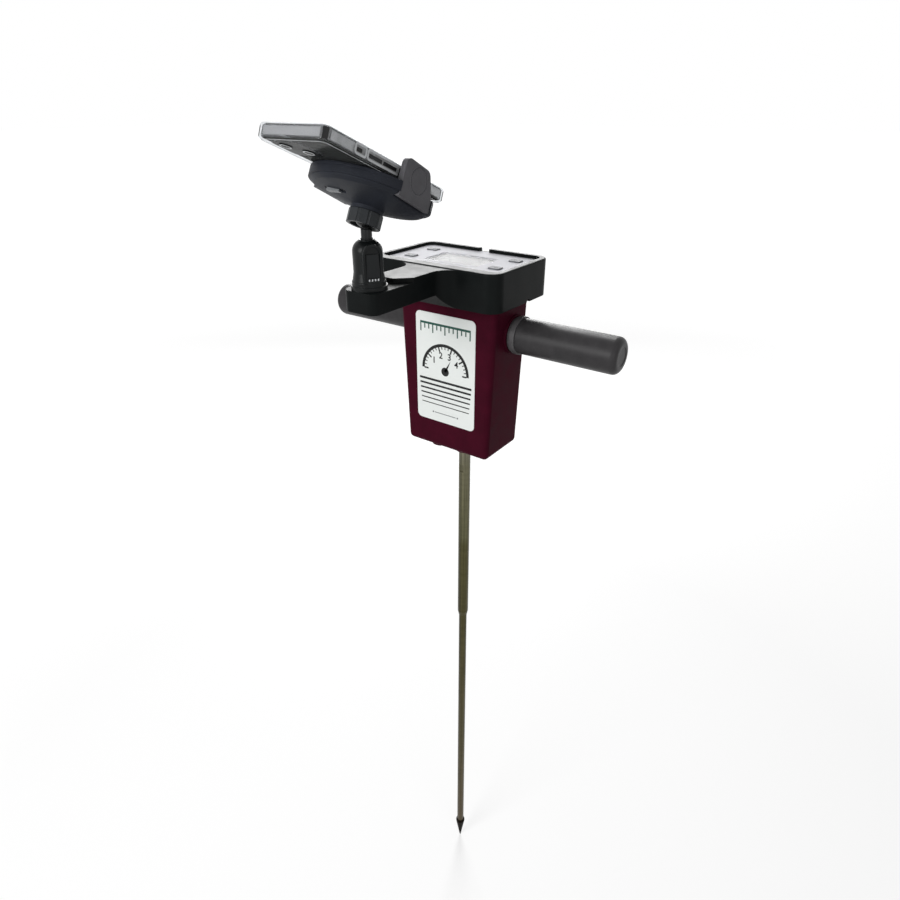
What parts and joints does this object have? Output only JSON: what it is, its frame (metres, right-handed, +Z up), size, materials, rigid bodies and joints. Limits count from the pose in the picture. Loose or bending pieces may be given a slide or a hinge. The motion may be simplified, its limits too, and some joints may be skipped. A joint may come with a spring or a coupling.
{
  "type": "soil penetrometer",
  "caption": "Hand-pushed soil penetrometer: coned steel probe, tapered housing with side grips and top display, and a front arm with a tilting phone cradle.",
  "frame": {"origin": "point of the cone, on the shaft axis", "axes": "+Z up along the shaft, +X along the handle toward the right-hand grip, -Y the way the phone arm points, so the user stands on the +Y side"},
  "size_m": [0.325, 0.2407, 1.0122],
  "materials": {
    "maroon": "satin",
    "label_white": "satin",
    "ink_black": "matt",
    "cover_black": "satin",
    "panel_white": "matt",
    "clear_window": "clear",
    "lcd_grey": "matt",
    "board_green": "satin",
    "holder_black": "matt",
    "cell_wrap": "gloss",
    "screw_steel": "plain",
    "screw_black": "black",
    "clamp_alloy": "machined",
    "tube_steel": "plain",
    "grip_foam": "satin",
    "collar_black": "satin",
    "bush_bronze": "plain",
    "shaft_steel": "ground",
    "cone_steel": "hardened",
    "post_black": "satin",
    "insert_grey": "matt",
    "key_grey": "matt",
    "ball_black": "satin",
    "nut_black": "satin",
    "cradle_black": "satin",
    "soft_pad": "matt",
    "pinion_cream": "plain",
    "tab_grey": "satin",
    "phone_alloy": "satin",
    "phone_glass": "gloss",
    "case_clear": "clear"
  },
  "bodies": {
    "meter": {"housing_shell": "maroon", "head_tray": "holder_black", "front_label": "label_white", "label_bars": "ink_black", "top_cover": "cover_black", "display_panel": "panel_white", "lcd_window": "clear_window", "lcd_module": "lcd_grey", "main_board": "board_green", "battery_holder": "holder_black", "battery_cells": "cell_wrap", "battery_door": "maroon", "door_screws": "screw_steel", "tube_clamp": "clamp_alloy", "load_cell": "clamp_alloy", "handle_tube": "tube_steel", "grip_left": "grip_foam", "grip_right": "grip_foam", "collar_left": "collar_black", "collar_right": "collar_black", "shaft_bush": "bush_bronze", "upper_shaft": "shaft_steel", "lower_shaft": "shaft_steel", "cone_tip": "cone_steel", "depth_sensor": "holder_black", "cover_screws": "screw_steel", "mount_post": "post_black", "post_inserts": "insert_grey", "post_bolt": "screw_steel"},
    "key_left_back": {"button_left_back": "key_grey"},
    "key_left_front": {"button_left_front": "key_grey"},
    "key_right_back": {"button_right_back": "key_grey"},
    "key_right_front": {"button_right_front": "key_grey"},
    "stem": {"ball_stem": "ball_black"},
    "nut": {"clamp_nut": "nut_black"},
    "cradle": {"cradle_back": "cradle_black", "cradle_face": "cradle_black", "face_pad": "soft_pad", "cradle_screws": "screw_black"},
    "gear": {"pinion": "pinion_cream"},
    "tab": {"release_tab": "tab_grey"},
    "left_jaw": {"jaw_left": "cradle_black", "jaw_left_pad": "soft_pad"},
    "right_jaw": {"jaw_right": "cradle_black", "jaw_right_pad": "soft_pad"},
    "phone": {"phone_body": "phone_alloy", "phone_screen": "phone_glass", "phone_camera": "phone_glass", "phone_keys": "phone_alloy", "phone_case": "case_clear"}
  },
  "joints": [
    {"name": "press_left_back", "type": "slide", "parent": "meter", "child": "key_left_back", "axis": [0, 0, -1], "range_m": [0, 0.0008], "stiffness_N_per_m": 1500},
    {"name": "press_left_front", "type": "slide", "parent": "meter", "child": "key_left_front", "axis": [0, 0, -1], "range_m": [0, 0.0008], "stiffness_N_per_m": 1500},
    {"name": "press_right_back", "type": "slide", "parent": "meter", "child": "key_right_back", "axis": [0, 0, -1], "range_m": [0, 0.0008], "stiffness_N_per_m": 1500},
    {"name": "press_right_front", "type": "slide", "parent": "meter", "child": "key_right_front", "axis": [0, 0, -1], "range_m": [0, 0.0008], "stiffness_N_per_m": 1500},
    {"name": "pan", "type": "hinge", "parent": "meter", "child": "stem", "pos_m": [0, -0.1365, 0.9312], "axis": [0, 0, 1], "range_deg": [-180, 180]},
    {"name": "tilt", "type": "hinge", "parent": "stem", "child": "nut", "pos_m": [0, -0.1365, 0.9477], "axis": [1, 0, 0], "range_deg": [-7.5, 26.4]},
    {"name": "turn", "type": "hinge", "parent": "nut", "child": "cradle", "pos_m": [0, -0.1365, 0.9477], "axis": [0, 0.4446, 0.8957], "range_deg": [-90, 90]},
    {"name": "jaw_open_right", "type": "slide", "parent": "cradle", "child": "right_jaw", "axis": [1, 0, 0], "range_m": [0, 0.01]},
    {"name": "jaw_open_left", "type": "slide", "parent": "cradle", "child": "left_jaw", "axis": [-1, 0, 0], "range_m": [0, 0.01]},
    {"name": "gear_turn", "type": "hinge", "parent": "cradle", "child": "gear", "pos_m": [0, -0.1365, 0.9477], "axis": [0, 0.4446, 0.8957], "range_deg": [-135, 5]},
    {"name": "tab_push", "type": "slide", "parent": "cradle", "child": "tab", "axis": [-1, 0, 0], "range_m": [0, 0.0025], "stiffness_N_per_m": 600},
    {"name": "phone_slide", "type": "slide", "parent": "cradle", "child": "phone", "axis": [0, -0.9272, 0.3746], "range_m": [0, 0.07]}
  ],
  "couplings": [
    {"joint": "jaw_open_left", "follows": "jaw_open_right", "ratio": 1},
    {"joint": "gear_turn", "follows": "jaw_open_right", "rad_per_m": -229.88}
  ]
}
